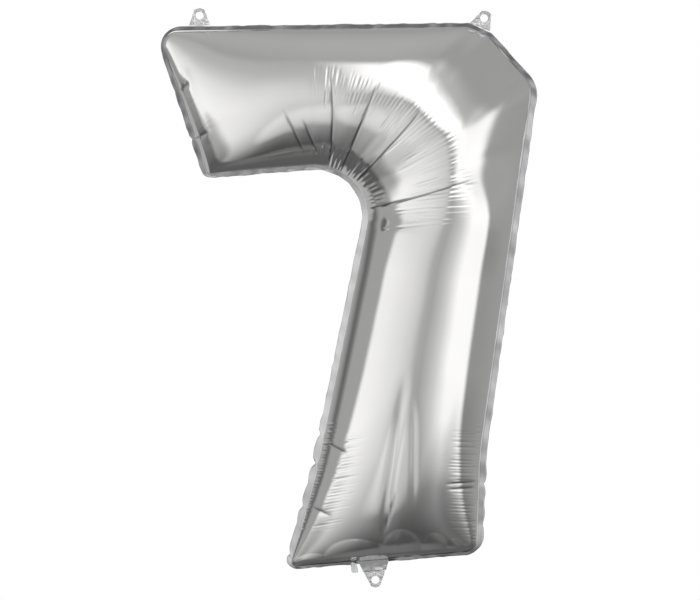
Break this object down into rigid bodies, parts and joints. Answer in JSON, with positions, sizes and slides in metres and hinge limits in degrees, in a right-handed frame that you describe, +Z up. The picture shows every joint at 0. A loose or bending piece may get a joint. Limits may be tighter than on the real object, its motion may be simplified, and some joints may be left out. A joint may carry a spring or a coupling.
{
  "type": "foil number balloon",
  "caption": "Inflated foil balloon in the shape of a figure seven, two bulging film panels heat-sealed at a flat rim, with an inlet valve and tabs with holes for hanging.",
  "frame": {"origin": "centre of the hole in the tie tab, below the foot of the figure, in the middle plane of the seam", "axes": "+Z up the figure, from the tie tab to the top edge; +X to the reader's right in the seam's plane; the front panel bulges towards -Y and the back panel towards +Y"},
  "size_m": [0.5704, 0.23, 0.879],
  "materials": {
    "silver_foil": "bright vacuum-metallised film, mirror-like with fine tension wrinkles",
    "seam_foil": "flat heat-sealed metallised film, satin and slightly scalloped",
    "clear_film": "thin translucent valve film",
    "release_print": "thin matt release coating",
    "tab_film": "creased translucent film"
  },
  "bodies": {
    "balloon": {"front_panel": "silver_foil", "back_panel": "silver_foil", "heat_seal_seam": "seam_foil", "neck_front_film": "seam_foil", "neck_back_film": "seam_foil", "valve_front_film": "clear_film", "valve_back_film": "clear_film", "valve_side_welds": "clear_film", "valve_release_print": "release_print"},
    "hang_tab_left": {"hang_tab_left": "tab_film"},
    "hang_tab_right": {"hang_tab_right": "tab_film"},
    "tie_tab": {"tie_tab": "tab_film"}
  },
  "joints": [
    {"name": "hang_tab_left_bend", "type": "hinge", "parent": "balloon", "child": "hang_tab_left", "pos_m": [-0.26666, 0, 0.8407], "axis": [0.9999, 0, 0.0122], "range_deg": [-85, 85], "stiffness_Nm_per_rad": 0.0002},
    {"name": "hang_tab_right_bend", "type": "hinge", "parent": "balloon", "child": "hang_tab_right", "pos_m": [0.15884, 0, 0.83805], "axis": [0.9164, 0, -0.4003], "range_deg": [-85, 85], "stiffness_Nm_per_rad": 0.0002},
    {"name": "tie_tab_bend", "type": "hinge", "parent": "balloon", "child": "tie_tab", "pos_m": [-0.00111, 0, 0.01325], "axis": [-0.9965, 0, -0.0837], "range_deg": [-85, 85], "stiffness_Nm_per_rad": 0.0002}
  ]
}
